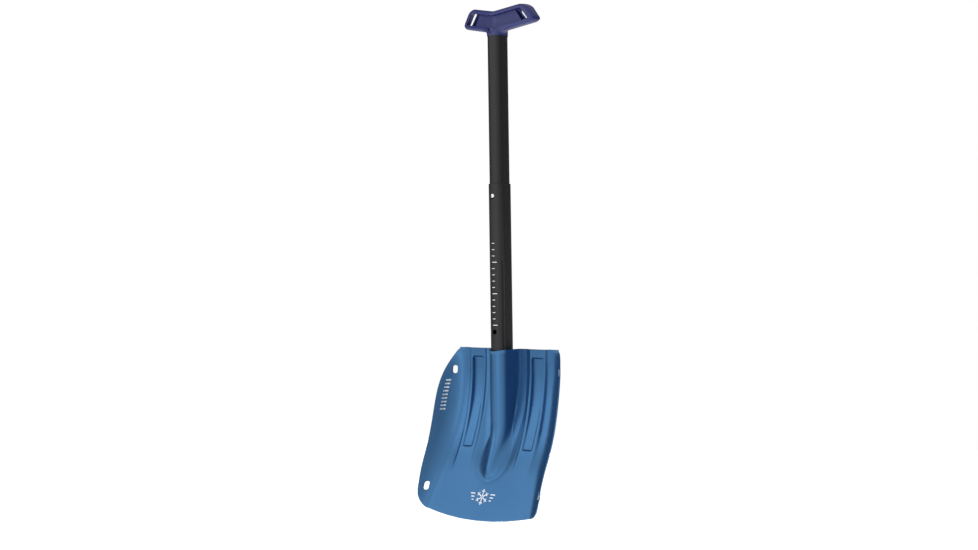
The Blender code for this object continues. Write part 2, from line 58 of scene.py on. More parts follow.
# ------------------------------------------------------------- camera and room
LENS, SENSOR = 56.69, 36.0
CAMERA_PLACE = (1.43884, -1.99542, FOOT + 0.4241)
CAMERA_AZIMUTH = math.radians(36.24)
CAMERA_PITCH = math.radians(-0.99)
CAMERA_ROLL = math.radians(-0.85)
FLOOR_Z = FOOT - 0.125                   # leaves room for the blade to slide off
FLOOR_RADIUS = 2.0
ROOM_FRONT = (0.22, -0.87, 0.44)         # the room's brightest side
ROOM_STOPS = (0.0, 0.30, 0.55, 0.67, 0.80, 1.0)   # from behind the shovel to its front
ROOM_GREYS = (0.22, 0.12, 0.05, 0.30, 0.60, 1.0)
ROOM_STRENGTH = 1.15


def add_camera():
    data = bpy.data.cameras.new("camera")
    data.lens, data.sensor_width = LENS, SENSOR
    camera = bpy.data.objects.new("camera", data)
    bpy.context.scene.collection.objects.link(camera)
    level = math.cos(CAMERA_PITCH)
    forward = Vector((-math.sin(CAMERA_AZIMUTH) * level, math.cos(CAMERA_AZIMUTH) * level,
                      math.sin(CAMERA_PITCH)))
    right = Vector((math.cos(CAMERA_AZIMUTH), math.sin(CAMERA_AZIMUTH), 0))
    up = right.cross(forward)
    right = right * math.cos(CAMERA_ROLL) + up * math.sin(CAMERA_ROLL)
    up = right.cross(forward)
    turn = Matrix((right, up, -forward)).transposed().to_4x4()
    camera.matrix_world = Matrix.Translation(CAMERA_PLACE) @ turn
    bpy.context.scene.camera = camera


def add_floor():
    bpy.ops.mesh.primitive_circle_add(vertices=96, radius=FLOOR_RADIUS, fill_type="NGON",
                                      location=(0, 0, FLOOR_Z))
    floor = bpy.context.active_object
    floor.name = "floor"
    mat = bpy.data.materials.new("floor_white")
    mat.use_nodes = True
    shader = mat.node_tree.nodes["Principled BSDF"]
    shader.inputs["Base Color"].default_value = (0.93, 0.93, 0.935, 1)
    shader.inputs["Roughness"].default_value = 0.9
    shader.inputs["Specular IOR Level"].default_value = 0.1
    shader.inputs["Emission Color"].default_value = (1, 1, 1, 1)
    shader.inputs["Emission Strength"].default_value = 0.80
    floor.data.materials.append(mat)


def area_light(name, at, target, size, power):
    data = bpy.data.lights.new(name, "AREA")
    data.shape = "RECTANGLE"
    data.size, data.size_y = size
    data.energy = power
    light = bpy.data.objects.new(name, data)
    light.location = at
    aim = Vector(target) - Vector(at)
    light.rotation_euler = aim.to_track_quat("-Z", "Y").to_euler()
    bpy.context.scene.collection.objects.link(light)


def room_light(nodes, links):
    """Background that is bright in front of the shovel, dim behind it and darkest beside it."""
    direction = nodes.new("ShaderNodeTexCoord")
    towards = nodes.new("ShaderNodeVectorMath")
    towards.operation = "DOT_PRODUCT"
    towards.inputs[1].default_value = ROOM_FRONT
    links.new(direction.outputs["Generated"], towards.inputs[0])
    share = nodes.new("ShaderNodeMapRange")
    share.inputs["From Min"].default_value = -1.0
    links.new(towards.outputs["Value"], share.inputs["Value"])
    side = nodes.new("ShaderNodeValToRGB")
    side.color_ramp.interpolation = "B_SPLINE"
    stops = side.color_ramp.elements
    for position in ROOM_STOPS[1:-1]:
        stops.new(position)
    for stop, grey in zip(stops, ROOM_GREYS):
        stop.color = (grey, grey, grey, 1)
    links.new(share.outputs[0], side.inputs[0])
    light = nodes.new("ShaderNodeBackground")
    light.inputs["Strength"].default_value = ROOM_STRENGTH
    links.new(side.outputs[0], light.inputs["Color"])
    return light


def add_room():
    """Room that lights the shovel from its front, seen as plain white by the camera."""
    world = bpy.data.worlds.new("studio")
    bpy.context.scene.world = world
    world.use_nodes = True
    nodes, links = world.node_tree.nodes, world.node_tree.links
    nodes.clear()
    light = room_light(nodes, links)
    seen = nodes.new("ShaderNodeBackground")
    seen.inputs["Color"].default_value = (1, 1, 1, 1)
    seen.inputs["Strength"].default_value = 1.0
    path = nodes.new("ShaderNodeLightPath")
    mix = nodes.new("ShaderNodeMixShader")
    links.new(path.outputs["Is Camera Ray"], mix.inputs[0])
    links.new(light.outputs[0], mix.inputs[1])
    links.new(seen.outputs[0], mix.inputs[2])
    out = nodes.new("ShaderNodeOutputWorld")
    links.new(mix.outputs[0], out.inputs["Surface"])
    bpy.context.scene.view_settings.view_transform = "Standard"


def add_lights():
    middle = (0, 0, FOOT / 2)
    area_light("key_left", (-2.2, -2.4, 0.9), middle, (1.6, 2.4), 16)
    area_light("fill_front", (0.6, -3.6, 0.2), middle, (1.4, 2.6), 9)
    area_light("top_back", (0.3, 1.6, 2.2), middle, (2.4, 1.6), 10)


# ------------------------------------------------------------------- materials
ROLLED_GRAIN = (900, 900, 22)            # noise per metre along x, y and z
EVEN_GRAIN = (700, 700, 700)
SPRING_GRAIN = (400, 400, 60)
PEBBLE_GRAIN = (1500, 1500, 1500)


def new_material(name, metallic):
    mat = bpy.data.materials.new(name)
    mat.use_nodes = True
    shader = mat.node_tree.nodes["Principled BSDF"]
    shader.inputs["Metallic"].default_value = metallic
    return mat, shader


def stretched_noise(mat, scale, detail=3.0, seed=0.0):
    """Noise in the object's own metres; scale is its frequency along x, y and z."""
    nodes, links = mat.node_tree.nodes, mat.node_tree.links
    spot = nodes.new("ShaderNodeTexCoord")
    mapping = nodes.new("ShaderNodeMapping")
    mapping.inputs["Scale"].default_value = scale
    mapping.inputs["Location"].default_value = (seed, seed * 1.7, seed * 2.3)
    links.new(spot.outputs["Object"], mapping.inputs["Vector"])
    noise = nodes.new("ShaderNodeTexNoise")
    noise.inputs["Scale"].default_value = 1.0
    noise.inputs["Detail"].default_value = detail
    links.new(mapping.outputs[0], noise.inputs["Vector"])
    return noise.outputs["Fac"]


def colour_between(mat, shader, factor, low, high):
    nodes, links = mat.node_tree.nodes, mat.node_tree.links
    ramp = nodes.new("ShaderNodeValToRGB")
    ramp.color_ramp.elements[0].position = 0.32
    ramp.color_ramp.elements[0].color = (*low, 1)
    ramp.color_ramp.elements[1].position = 0.68
    ramp.color_ramp.elements[1].color = (*high, 1)
    links.new(factor, ramp.inputs[0])
    links.new(ramp.outputs[0], shader.inputs["Base Color"])


def roughness_between(mat, shader, factor, low, high):
    nodes, links = mat.node_tree.nodes, mat.node_tree.links
    spread = nodes.new("ShaderNodeMapRange")
    spread.inputs["From Min"].default_value = 0.3
    spread.inputs["From Max"].default_value = 0.7
    spread.inputs["To Min"].default_value = low
    spread.inputs["To Max"].default_value = high
    links.new(factor, spread.inputs["Value"])
    links.new(spread.outputs[0], shader.inputs["Roughness"])


def bump_from(mat, shader, factor, height, strength):
    nodes, links = mat.node_tree.nodes, mat.node_tree.links
    bump = nodes.new("ShaderNodeBump")
    bump.inputs["Strength"].default_value = strength
    bump.inputs["Distance"].default_value = height
    links.new(factor, bump.inputs["Height"])
    links.new(bump.outputs[0], shader.inputs["Normal"])


def anodised(name, low, high, roughness, metallic):
    """Anodised sheet or tube: upright rolling grain under a dyed oxide layer."""
    mat, shader = new_material(name, metallic)
    clouds = stretched_noise(mat, (9, 9, 5), detail=2.0)
    lines = stretched_noise(mat, ROLLED_GRAIN, detail=4.0, seed=3.1)
    colour_between(mat, shader, clouds, low, high)
    roughness_between(mat, shader, lines, roughness - 0.05, roughness + 0.06)
    bump_from(mat, shader, lines, 0.00004, 0.35)
    return mat


def plain_metal(name, low, high, roughness, grain=EVEN_GRAIN):
    mat, shader = new_material(name, 1.0)
    specks = stretched_noise(mat, grain)
    colour_between(mat, shader, specks, low, high)
    roughness_between(mat, shader, specks, roughness - 0.06, roughness + 0.08)
    bump_from(mat, shader, specks, 0.00003, 0.25)
    return mat


def moulded(name, low, high, roughness):
    """Moulded plastic: fine spark-eroded texture and slight colour drift."""
    mat, shader = new_material(name, 0.0)
    drift = stretched_noise(mat, (35, 35, 35), detail=2.0)
    texture = stretched_noise(mat, PEBBLE_GRAIN, detail=2.0, seed=5.3)
    colour_between(mat, shader, drift, low, high)
    roughness_between(mat, shader, texture, roughness - 0.05, roughness + 0.07)
    bump_from(mat, shader, texture, 0.00005, 0.3)
    return mat


BLUE = anodised("blade_blue_anodised", (0.047, 0.144, 0.300), (0.058, 0.166, 0.338), 0.36, 0.86)
BLACK = anodised("shaft_black_anodised", (0.024, 0.024, 0.026), (0.031, 0.031, 0.033), 0.42, 0.55)
NAVY = moulded("grip_navy_plastic", (0.021, 0.028, 0.140), (0.026, 0.034, 0.160), 0.36)
INSERT = moulded("insert_black_plastic", (0.014, 0.014, 0.015), (0.02, 0.02, 0.021), 0.5)
STEEL = plain_metal("button_steel", (0.70, 0.70, 0.68), (0.80, 0.80, 0.78), 0.18)
SPRING = plain_metal("spring_steel", (0.27, 0.27, 0.28), (0.34, 0.34, 0.35), 0.32, SPRING_GRAIN)
BARE = plain_metal("rivet_aluminium", (0.52, 0.53, 0.54), (0.62, 0.63, 0.64), 0.30)
ETCHED = plain_metal("etched_aluminium", (0.80, 0.81, 0.82), (0.88, 0.89, 0.90), 0.45)


# ---------------------------------------------------------------- mesh helpers
def add_mesh(name, verts, faces, mat, smooth=35):
    mesh = bpy.data.meshes.new(name)
    mesh.from_pydata([tuple(v) for v in np.asarray(verts, float)], [], faces)
    mesh.validate()
    mesh.materials.append(mat)
    mesh.shade_smooth()
    mesh.set_sharp_from_angle(angle=math.radians(smooth))
    ob = bpy.data.objects.new(name, mesh)
    bpy.context.scene.collection.objects.link(ob)
    return ob


def settle(ob, smooth=35):
    """Apply the object's modifiers and mark its sharp edges again."""
    bpy.context.view_layer.update()
    depsgraph = bpy.context.evaluated_depsgraph_get()
    mesh = bpy.data.meshes.new_from_object(ob.evaluated_get(depsgraph))
    ob.modifiers.clear()
    ob.data = mesh
    mesh.shade_smooth()
    mesh.set_sharp_from_angle(angle=math.radians(smooth))
    return ob


def place(ob, body, slot, *nodes):
    """Put a finished piece on its CAD body, in place of these CAD nodes."""
    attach(ob, body)
    if nodes:
        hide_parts(*nodes)


def face_outwards(ob):
    """Turn the faces of closed pieces outwards."""
    bm = bmesh.new()
    bm.from_mesh(ob.data)
    bm.normal_update()
    bmesh.ops.recalc_face_normals(bm, faces=bm.faces)
    bm.to_mesh(ob.data)
    bm.free()
    return ob


def grid_faces(rows, columns, wrap=False):
    """Quads between rows of points; with wrap each row is a closed ring."""
    faces = []
    last = columns if wrap else columns - 1
    for j in range(rows - 1):
        for i in range(last):
            k = (i + 1) % columns
            faces.append((j * columns + i, (j + 1) * columns + i, (j + 1) * columns + k, j * columns + k))
    return faces


def turned(name, profile, place_at, axis, mat, steps=40):
    """Solid of revolution; profile is (radius, height) from the axis and back to it."""
    angles = np.linspace(0, 2 * math.pi, steps, endpoint=False)
    rings = [np.stack([r * np.cos(angles), r * np.sin(angles), np.full(steps, h)], axis=1)
             for r, h in profile[1:-1]]
    verts = [np.array([[0, 0, profile[0][1]]])] + rings + [np.array([[0, 0, profile[-1][1]]])]
    verts = np.concatenate(verts)
    faces = [(1 + (i + 1) % steps, 1 + i, 0) for i in range(steps)]
    for j in range(len(rings) - 1):
        for i in range(steps):
            a, b = 1 + j * steps + i, 1 + j * steps + (i + 1) % steps
            faces.append((a, b, b + steps, a + steps))
    start, tip = 1 + (len(rings) - 1) * steps, len(verts) - 1
    faces += [(start + i, start + (i + 1) % steps, tip) for i in range(steps)]
    turn = Vector((0, 0, 1)).rotation_difference(Vector(axis)).to_matrix()
    verts = verts @ np.array(turn).T + np.array(place_at)
    return add_mesh(name, verts, faces, mat, smooth=50)


def dome(base_r, rise, height, steps=8):
    """Profile of a low dome from its rim up to the axis."""
    return [(base_r * math.cos(math.pi / 2 * k / steps), height + rise * math.sin(math.pi / 2 * k / steps))
            for k in range(steps + 1)]


def smooth(low, high, value):
    """0 up to low, 1 from high on, with a smooth step between."""
    t = np.clip((value - low) / (high - low), 0.0, 1.0)
    return t * t * (3 - 2 * t)


def smooth_min(a, b, width):
    """The smaller of two, blended where they are within width of each other."""
    h = np.clip(width - np.abs(a - b), 0, None) / width
    return np.minimum(a, b) - h * h * width / 4


# --------------------------------------------------------------- blade surface
SHEET = 0.0020
PANEL_Y = 0.0177                # front face of the flat panel at the top
BEND_START, BEND_RADIUS = 0.245, 0.3105
PANEL_TILT = math.radians(29.5)
WIDEST_X, WIDEST_Z = 0.1198, 0.130
TOP_NARROWING, TOP_NARROWING_RUN, TOP_NARROWING_POWER = 0.0219, 0.132, 3.8
FOOT_NARROWING = 0.024          # per metre below the widest place
TOP_CORNER = 0.0070
FOLD_TOP_X, FOLD_SPREAD, FOLD_POWER = 0.084, 0.0145, 1.3
WING_FOOT = 0.105               # the wing gets lower below this height
EDGE_REACH, EDGE_RUN_IN, EDGE_LOSS = 1.22, 0.032, 0.65     # reach at the edge per width of the wing
WING_SLOPE, SLOPE_RUN_IN, SLOPE_LOSS, LEAST_SLOPE = 1.50, 0.019, 0.45, 0.02
FOLD_RADIUS, FOLD_RADIUS_GAIN, FOLD_RADIUS_LOSS = 0.009, 0.005, 0.004
RIB_HEIGHT, RIB_INNER, RIB_OUTER = 0.0042, 0.0430, 0.0747
RIB_INNER_WALL, RIB_OUTER_WALL = 0.0014, 0.0020            # half widths of the ribs' walls
DISH_HALF, DISH_TAPER = 0.0430, 0.002
DISH_ARCH, DISH_FOOT = 0.115, 0.0483                       # the recess rounds off between these
DISH_SLOPE, DISH_SLOPE_GAIN, DISH_RIM, DISH_SINK = 0.0060, 0.0160, 0.0025, 0.0012
POCKET_TOP, POCKET_FOOT, POCKET_CORNER = 0.2500, 0.1053, 0.0030
POCKET_INNER, POCKET_OUTER = 0.0460, 0.0704
POCKET_INNER_LEAN, POCKET_OUTER_LEAN = 0.0028, 0.0023      # how far its sides close in by its foot
POCKET_DEPTH, POCKET_DEPTH_GAIN = 0.0018, 0.0040
POCKET_WALL, POCKET_WALL_GAIN = 0.0020, 0.0014
SOCKET_HALF, SOCKET_NOSE, SOCKET_NARROWING = 0.0165, -0.0225, 0.0085
NOSE_BEND_TOP, NOSE_BEND_RUN, NOSE_SLOPE = 0.150, 0.042, 0.42
NOSE_BEND_SPREAD = 0.200                                   # twice the bend's radius
FLANK_FOOT, FLANK_GAIN = 0.66, 0.325                       # where the nose's round turns into its flank
RIDGE_END, RIDGE_FADE, RIDGE_DEPTH, RIDGE_NOSE = 0.061, 0.020, 0.015, 0.90
RIDGE_FILLET, RIDGE_FILLET_GAIN = 0.0080, 0.0050
MOUTH_FLARE, MOUTH_FLARE_RUN = 0.0009, 0.006
MOUTH_DIP, MOUTH_DIP_RUN = 0.0022, 0.012                   # the socket's mouth is lower at its nose
DIMPLE_Z, DIMPLE_DEPTH, DIMPLE_RADIUS = 0.2500, 0.0007, 0.0030
EDGE_SAG = 1.1
CORNER_X, SIDE_X, CORNER_TOP = 0.098, 0.1174, 0.0425
LASH_HOLES = ((0.1022, 0.2265), (0.1090, 0.0440))
LASH_W, LASH_H, LASH_CUT = 0.0062, 0.0130, 0.030
BLADE_EDGE_ROUND, PLATE_EDGE_ROUND = 0.0005, 0.0003
RIVET_X, RIVET_HEIGHTS, RIVET_R = 0.0275, (0.180, 0.214, 0.248), 0.0021


def panel_y(z):
    """Front face of the flat panel: upright, then a round bend, then straight."""
    drop = np.maximum(0.0, BEND_START - z)
    arc_drop = np.minimum(drop, BEND_RADIUS * math.sin(PANEL_TILT))
    y = PANEL_Y - (BEND_RADIUS - np.sqrt(BEND_RADIUS ** 2 - arc_drop ** 2))
    return y - (drop - arc_drop) * math.tan(PANEL_TILT)


def side_x(z):
    """|x| of the wing's edge before its top corner is rounded."""
    above = np.clip(z - WIDEST_Z, 0, None)
    upper = WIDEST_X - TOP_NARROWING * (above / TOP_NARROWING_RUN) ** TOP_NARROWING_POWER
    lower = WIDEST_X - FOOT_NARROWING * (WIDEST_Z - z)
    return np.where(z > WIDEST_Z, upper, lower)


def half_width(z):
    """|x| of the wing's edge with its round top corner."""
    above = np.clip(z - (BLADE_TOP - TOP_CORNER), 0, TOP_CORNER)
    return side_x(z) - (TOP_CORNER - np.sqrt(TOP_CORNER ** 2 - above ** 2))


def fold_x(z):
    """Where the side wing starts to turn forward."""
    return FOLD_TOP_X + FOLD_SPREAD * (1 - (np.clip(z, 0, None) / BLADE_TOP) ** FOLD_POWER)


def wing_reach(x, z):
    """How far the wing stands forward of the panel: a steep straight wing after a round fold."""
    below_top = BLADE_TOP - z
    near_foot = np.clip(1 - z / WING_FOOT, 0, None) ** 2
    gentle = EDGE_REACH * (1 - np.exp(-below_top / EDGE_RUN_IN)) * (1 - EDGE_LOSS * near_foot)
    at_edge = gentle * (side_x(z) - fold_x(z))
    slope = WING_SLOPE * (1 - np.exp(-below_top / SLOPE_RUN_IN)) * (1 - SLOPE_LOSS * near_foot) + LEAST_SLOPE
    radius = FOLD_RADIUS + FOLD_RADIUS_GAIN * smooth(0.020, 0.090, z)
    radius = radius - FOLD_RADIUS_LOSS * smooth(0.190, 0.240, z)
    d = x - (side_x(z) - at_edge / slope)
    bend = (np.clip(d, -radius, radius) + radius) ** 2 / (4 * radius)
    return slope * (bend + np.clip(d - radius, 0, None))


def dish_half(z):
    """Half width of the recess between the ribs, closing to a round foot."""
    t = np.clip((DISH_ARCH - z) / (DISH_ARCH - DISH_FOOT), 0.0, 1.0)
    round_foot = DISH_HALF * np.sqrt(1 - t * t) - DISH_TAPER * smooth(0.12, 0.24, z)
    return np.where(z < DISH_FOOT, 2 * (z - DISH_FOOT), round_foot)


def dish_slope(z):
    """How far in from its rim the dish slopes: short between the ribs, long at the foot."""
    return DISH_SLOPE + DISH_SLOPE_GAIN * (1 - smooth(0.085, 0.175, z))


def pocket_edges(z):
    """|x| of a pocket's inner and outer sides, which close in towards its foot."""
    t = (POCKET_TOP - z) / (POCKET_TOP - POCKET_FOOT)
    return POCKET_INNER + POCKET_INNER_LEAN * t, POCKET_OUTER - POCKET_OUTER_LEAN * t


def upper_pocket(z):
    """0 at the pockets' feet and 1 from where they are at their deepest."""
    return smooth(0.110, 0.190, z)


def pocket_wall(z):
    """Width of a pocket's sloping wall."""
    return POCKET_WALL + POCKET_WALL_GAIN * upper_pocket(z)


def mouth_flare(z):
    """How far the socket opens out at its mouth."""
    return MOUTH_FLARE * smooth(BLADE_TOP - MOUTH_FLARE_RUN, BLADE_TOP, z)


def socket_half(z):
    """Half width of the socket's bulge, and of the ridge below it."""
    return SOCKET_HALF - SOCKET_NARROWING * (1 - smooth(0.058, 0.140, z)) + mouth_flare(z)


def nose_y(z):
    """Foremost line of the socket bulge and of the ridge that runs on from it."""
    drop = np.maximum(0.0, NOSE_BEND_TOP - z)
    arc_drop = np.minimum(drop, NOSE_BEND_RUN)
    bend = arc_drop ** 2 / NOSE_BEND_SPREAD
    return SOCKET_NOSE - bend - (drop - arc_drop) * NOSE_SLOPE - mouth_flare(z)


def round_then_flank(t, start):
    """Depth of a round nose over its half width, running on straight from `start`."""
    t = np.abs(t)
    slope = start / np.sqrt(1 - start * start)
    curved = 1 - np.sqrt(np.clip(1 - np.minimum(t, start) ** 2, 0, None))
    return curved + np.clip(t - start, 0, None) * slope


def ridge_y(x, z):
    """Front face of the socket's bulge and of the ridge, falling back at the ridge's end."""
    half = socket_half(z)
    start = FLANK_FOOT + FLANK_GAIN * smooth(0.080, 0.145, z)
    below = np.clip(RIDGE_END + RIDGE_FADE - z, 0, None) / RIDGE_FADE
    across = half * round_then_flank(x / half, start)
    return nose_y(z) + across + RIDGE_DEPTH * round_then_flank(below, RIDGE_NOSE)


def pocket_depth(x, z):
    """1 on a pocket's floor, 0 outside it, with sloping walls and round corners."""
    inner, outer = pocket_edges(z)
    across = np.abs(x - (inner + outer) / 2) - (outer - inner) / 2 + POCKET_CORNER
    along = np.abs(z - (POCKET_TOP + POCKET_FOOT) / 2) - (POCKET_TOP - POCKET_FOOT) / 2 + POCKET_CORNER
    outside = np.hypot(np.clip(across, 0, None), np.clip(along, 0, None))
    distance = outside + np.minimum(np.maximum(across, along), 0) - POCKET_CORNER
    return smooth(0.0, pocket_wall(z), -distance)


def blade_y(x, z):
    """Front face of the blade."""
    x = np.abs(x)
    inside = dish_half(z)
    soft = smooth(inside - dish_slope(z), inside + DISH_RIM, x)
    soft = 1 - (1 - soft) * smooth(DISH_FOOT - 0.004, 0.100, z)
    crisp = smooth(RIB_INNER - RIB_INNER_WALL, RIB_INNER + RIB_INNER_WALL, x)
    crisp = 1 - (1 - crisp) * smooth(0.066, 0.130, z)
    plateau = 0.5 * (soft + crisp)
    outer = smooth(RIB_OUTER - RIB_OUTER_WALL, RIB_OUTER + RIB_OUTER_WALL, x) * smooth(0.062, 0.135, z)
    pocket_floor = POCKET_DEPTH + POCKET_DEPTH_GAIN * upper_pocket(z)
    y = panel_y(z) - RIB_HEIGHT * plateau * (1 - outer) + pocket_floor * pocket_depth(x, z)
    y += DISH_SINK * (1 - soft) * (1 - smooth(0.10, 0.15, z)) - wing_reach(x, z)
    y += DIMPLE_DEPTH * np.exp(-(x ** 2 + (z - DIMPLE_Z) ** 2) / DIMPLE_RADIUS ** 2)
    fillet = RIDGE_FILLET + RIDGE_FILLET_GAIN * (1 - smooth(0.070, 0.130, z))
    return smooth_min(y, ridge_y(x, z), fillet)


def blade_surface(x, z):
    return float(blade_y(x, z))


def foot_z(x):
    """Height of the cutting edge, with its round corners."""
    x = np.abs(x)
    z = EDGE_SAG * np.minimum(x, CORNER_X) ** 2
    t = np.clip((x - CORNER_X) / (SIDE_X - CORNER_X), 0, 1)
    return z + (CORNER_TOP - z) * (1 - np.sqrt(1 - t * t))


COLUMN_GAP, EDGE_BAND = 0.0010, 0.0030   # least distance between two features, and at the edge
EDGE_CROWDING = 1.6                      # columns get closer towards the wing's edge
INNER_CREASE, OUTER_CREASE = 0.0016, 0.0024   # half widths of the columns' bands on the ribs' walls
FOLD_BEFORE, FOLD_AFTER = 0.003, 0.012
COLUMN_STEPS = (5, 4, 5, 8, 8, 6, 9, 3, 5, 2, 6, 8, 6, 4, 5, 5, 12, 22)


def blade_columns(z):
    """|x| of one row's columns, from features that the surface creases along."""
    half = socket_half(z)
    inner, outer = pocket_edges(min(max(z, POCKET_FOOT), POCKET_TOP))
    height = max(float(panel_y(z) - nose_y(z)), 0.0)
    foot_of_flank = half + max(height - half, 0.0) * 0.18 + 0.003
    inside = max(float(dish_half(z)), foot_of_flank + 0.004)
    wall = float(pocket_wall(z))
    fold = float(fold_x(z))
    features = [0.0, 0.55 * half, 0.85 * half, half, foot_of_flank, foot_of_flank + 0.005,
                inside - float(dish_slope(z)), min(inside + DISH_RIM, RIB_INNER - 0.0024),
                RIB_INNER - INNER_CREASE, RIB_INNER + INNER_CREASE,
                inner, inner + wall, outer - wall, outer,
                RIB_OUTER - OUTER_CREASE, RIB_OUTER + OUTER_CREASE,
                fold - FOLD_BEFORE, fold + FOLD_AFTER, float(half_width(z))]
    for i in range(1, len(features)):
        features[i] = max(features[i], features[i - 1] + COLUMN_GAP)
    features[-2] = min(features[-2], features[-1] - EDGE_BAND)
    columns = [0.0]
    for low, high, steps in zip(features, features[1:], COLUMN_STEPS):
        shares = np.arange(1, steps + 1) / steps
        if high == features[-1]:
            shares = 1 - (1 - shares) ** EDGE_CROWDING
        columns.extend(low + (high - low) * shares)
    return np.array(columns)


def blade_heights():
    """Row heights: a round top corner, walls of the pockets, then about 1.7 mm steps."""
    heights = list(BLADE_TOP - TOP_CORNER * (1 - np.sin(np.linspace(0, math.pi / 2, 9)))[:0:-1])
    stops = [BLADE_TOP - TOP_CORNER, POCKET_TOP, POCKET_TOP - 0.0060, 0.160, 0.120,
             POCKET_FOOT + 0.0024, POCKET_FOOT, 0.090, 0.058]
    steps = [3, 8, 48, 24, 7, 5, 10, 20]
    for high, low, count in zip(stops, stops[1:], steps):
        heights.extend(np.linspace(high, low, count, endpoint=False))
    return heights + [stops[-1]]


def blade_grid():
    """The blade's front face: level rows, then rows that close in on the cutting edge."""
    heights = blade_heights()
    base = heights[-1]
    rows = [(blade_columns(z), np.full(sum(COLUMN_STEPS) + 1, z)) for z in heights]
    across = blade_columns(base)
    foot_rows = 34
    for step in range(1, foot_rows + 1):
        t = step / foot_rows
        x = across * (1 + (SIDE_X / across[-1] - 1) * t)
        rows.append((x, base + (foot_z(x) - base) * t))
    verts = []
    for x, z in rows:
        x = np.concatenate([-x[:0:-1], x])
        z = np.concatenate([z[:0:-1], z])
        dip = MOUTH_DIP * smooth(BLADE_TOP - MOUTH_DIP_RUN, BLADE_TOP, z)
        dip *= 1 - smooth(0.0, SOCKET_HALF, np.abs(x))
        verts.append(np.stack([x, blade_y(x, z), z - dip + FOOT], axis=1))
    count = len(verts[0])
    return np.concatenate(verts), grid_faces(len(rows), count)


def hole_cutter(name, shapes):
    """One cutter of several closed prisms along y: (centre, outline in x and z, depth)."""
    bm = bmesh.new()
    for centre, outline, depth in shapes:
        middle = Vector(centre)
        front = [bm.verts.new(middle + Vector((x, -depth, z))) for x, z in outline]
        back = [bm.verts.new(middle + Vector((x, depth, z))) for x, z in outline]
        bm.faces.new(front)
        bm.faces.new(back[::-1])
        for i in range(len(outline)):
            j = (i + 1) % len(outline)
            bm.faces.new((front[j], front[i], back[i], back[j]))
    bm.normal_update()
    bmesh.ops.recalc_face_normals(bm, faces=bm.faces)
    mesh = bpy.data.meshes.new(name)
    bm.to_mesh(mesh)
    bm.free()
    ob = bpy.data.objects.new(name, mesh)
    bpy.context.scene.collection.objects.link(ob)
    return ob


def oval(width, height, steps=40):
    """Outline with straight sides and round ends, in x and z."""
    radius, straight = width / 2, (height - width) / 2
    points = []
    for k in range(steps):
        angle = 2 * math.pi * (k + 0.5) / steps
        lift = straight if math.sin(angle) > 0 else -straight
        points.append((radius * math.cos(angle), radius * math.sin(angle) + lift))
    return points


def subtract(ob, cutter):
    mod = ob.modifiers.new("holes", "BOOLEAN")
    mod.object, mod.solver = cutter, "EXACT"
    settle(ob)
    bpy.data.objects.remove(cutter, do_unlink=True)


def soften_edges(ob, width, angle=50):
    mod = ob.modifiers.new("soft_edges", "BEVEL")
    mod.width, mod.segments = width, 2
    mod.limit_method, mod.angle_limit = "ANGLE", math.radians(angle)
    mod.use_clamp_overlap = False
    mod.harden_normals = False
    return settle(ob)


def build_blade():
    verts, faces = blade_grid()
    blade = add_mesh("blade_sheet", verts, faces, BLUE, smooth=60)
    if blade.data.polygons[0].normal.y > 0:
        blade.data.flip_normals()
    skin = blade.modifiers.new("thickness", "SOLIDIFY")
    skin.thickness, skin.offset = SHEET, -1
    skin.use_even_offset = True
    skin.thickness_clamp = 0.6
    settle(blade, smooth=60)
    shapes = []
    for x, z in LASH_HOLES:
        for side in (-1, 1):
            centre = (side * x, blade_surface(x, z), z + FOOT)
            shapes.append((centre, oval(LASH_W, LASH_H), LASH_CUT))
    subtract(blade, hole_cutter("lash_cutter", shapes))
    soften_edges(blade, BLADE_EDGE_ROUND, angle=62)
    place(blade, "scoop", "blade_metal", "blade")


# --------------------------------------------------------------------- marking
MARK_SINK, BLADE_LIFT, TUBE_LIFT = 0.0002, 0.00010, 0.00008   # behind and before the surface
SYMBOL_Z, SYMBOL_RADIUS, SYMBOL_LINE = 0.034, 0.0115, 0.0014
SIDE_BARS, SIDE_BAR_X, SIDE_BAR_PITCH, SIDE_BAR_HEIGHT = (0.0085, 0.0060, 0.0035), 0.0150, 0.0045, 0.0015
STRIPES, STRIPE_FOOT, STRIPE_PITCH, STRIPE_INSET = 9, 0.163, 0.0058, 0.0085
STRIPE_W, STRIPE_H, BAR_STEP = 0.0052, 0.0024, 0.0015


def printed_mark(name, polygons, surface, lift, mat):
    """Thin marks on a surface; each polygon is a closed outline of (x, height)."""
    verts, faces = [], []
    for outline in polygons:
        start = len(verts)
        for x, z in outline:
            verts.append((x, surface(x, z) - lift, z + FOOT))
        for x, z in outline:
            verts.append((x, surface(x, z) + MARK_SINK, z + FOOT))
        count = len(outline)
        faces.append(tuple(range(start + count - 1, start - 1, -1)))
        faces.append(tuple(range(start + count, start + 2 * count)))
        for i in range(count):
            j = (i + 1) % count
            faces.append((start + i, start + j, start + count + j, start + count + i))
    return face_outwards(add_mesh(name, verts, faces, mat))


def bar(x, z, width, height, turn=0.0):
    """A short straight bar, cut into steps along its length so that it can bend."""
    steps = max(1, int(max(width, height) / BAR_STEP))
    if width >= height:
        line = [(width * (k / steps - 0.5), 0.0) for k in range(steps + 1)]
        half = (0.0, height / 2)
    else:
        line = [(0.0, height * (k / steps - 0.5)) for k in range(steps + 1)]
        half = (width / 2, 0.0)
    out = []
    c, s = math.cos(turn), math.sin(turn)
    for i in range(steps):
        quad = []
        for px, pz, sign in ((*line[i], -1), (*line[i + 1], -1), (*line[i + 1], 1), (*line[i], 1)):
            u, v = px + sign * half[0], pz + sign * half[1]
            quad.append((x + c * u - s * v, z + s * u + c * v))
        out.append(quad)
    return out


